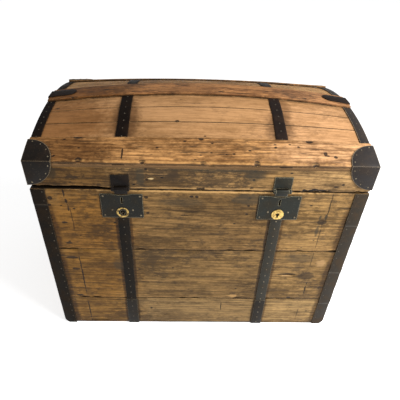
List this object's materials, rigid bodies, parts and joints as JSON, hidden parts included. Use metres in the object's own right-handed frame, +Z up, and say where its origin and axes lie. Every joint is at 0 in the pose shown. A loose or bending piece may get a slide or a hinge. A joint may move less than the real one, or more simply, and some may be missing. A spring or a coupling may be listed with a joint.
{
  "type": "dome-top travel trunk",
  "caption": "Dome-top wooden travel trunk with iron straps, corner irons and caps, a hinged lid that swells along its length, front hasps over brass-ringed locks, and end handles.",
  "frame": {"origin": "on the floor under the middle of the trunk, halfway across its width and depth", "axes": "+X along the trunk's width to the right as seen from the front, +Y from front to back, +Z up"},
  "size_m": [0.998, 0.6566, 0.7763],
  "materials": {
    "body_pine": "aged dark honey pine, worn and stained",
    "lid_pine": "aged lighter pine, rubbed",
    "inner_pine": "unfinished dry pine",
    "iron": "dark brown-black wrought sheet, worn at the edges",
    "nail_iron": "worn iron heads",
    "brass": "rubbed old brass"
  },
  "bodies": {
    "chest": {"back_boards": "body_pine", "back_straps": "iron", "body_nails": "nail_iron", "corner_iron_left": "iron", "corner_iron_right": "iron", "corner_irons_back": "iron", "corner_posts": "inner_pine", "end_boards_left": "body_pine", "end_boards_right": "body_pine", "escutcheons": "brass", "floor_boards": "inner_pine", "foot_strap_left": "iron", "foot_strap_right": "iron", "front_board_lower": "body_pine", "front_board_middle": "body_pine", "front_board_upper": "body_pine", "front_strap_left": "iron", "front_strap_right": "iron", "handle_lugs": "iron", "hinge_body_leaf_left": "iron", "hinge_body_leaf_right": "iron", "hinge_pins": "iron", "lock_case_left": "iron", "lock_case_right": "iron", "lock_plate_left": "iron", "lock_plate_nails": "nail_iron", "lock_plate_right": "iron", "wall_battens": "inner_pine"},
    "lid": {"corner_cap_back_left": "iron", "corner_cap_front_left": "iron", "corner_cap_front_right": "iron", "hasp_pins": "iron", "hasp_plate_left": "iron", "hasp_plate_right": "iron", "hinge_lid_leaf_left": "iron", "hinge_lid_leaf_right": "iron", "lid_edge_iron_left": "iron", "lid_edge_iron_right": "iron", "lid_end_board_left": "lid_pine", "lid_end_board_right": "lid_pine", "lid_nails": "nail_iron", "lid_rail_back": "lid_pine", "lid_rail_front": "lid_pine", "lid_ribs": "inner_pine", "lid_slat_back": "lid_pine", "lid_slat_front": "lid_pine", "lid_slat_ridge": "lid_pine", "lid_stave_ridge": "lid_pine", "lid_staves_back": "lid_pine", "lid_staves_front": "lid_pine", "lid_strap_left": "iron", "lid_strap_right": "iron", "ridge_caps": "iron"},
    "hasp_left": {"hasp_left": "iron"},
    "hasp_right": {"hasp_right": "iron"},
    "bolt_left": {"lock_bolt_left": "iron"},
    "bolt_right": {"lock_bolt_right": "iron"},
    "bail_left": {"handle_bail_left": "iron"},
    "bail_right": {"handle_bail_right": "iron"}
  },
  "joints": [
    {"name": "lid_hinge", "type": "hinge", "parent": "chest", "child": "lid", "pos_m": [0, 0.3223, 0.598], "axis": [-1, 0, 0], "range_deg": [0, 105]},
    {"name": "hasp_left_hinge", "type": "hinge", "parent": "lid", "child": "hasp_left", "pos_m": [-0.228, -0.3223, 0.603], "axis": [-1, 0, 0], "range_deg": [0, 170]},
    {"name": "hasp_right_hinge", "type": "hinge", "parent": "lid", "child": "hasp_right", "pos_m": [0.228, -0.3223, 0.603], "axis": [-1, 0, 0], "range_deg": [0, 170]},
    {"name": "bolt_left_slide", "type": "slide", "parent": "chest", "child": "bolt_left", "axis": [1, 0, 0], "range_m": [0, 0.009]},
    {"name": "bolt_right_slide", "type": "slide", "parent": "chest", "child": "bolt_right", "axis": [1, 0, 0], "range_m": [0, 0.009]},
    {"name": "handle_left_swing", "type": "hinge", "parent": "chest", "child": "bail_left", "pos_m": [-0.49, 0, 0.42], "axis": [0, 1, 0], "range_deg": [0, 180]},
    {"name": "handle_right_swing", "type": "hinge", "parent": "chest", "child": "bail_right", "pos_m": [0.49, 0, 0.42], "axis": [0, -1, 0], "range_deg": [0, 180]}
  ]
}
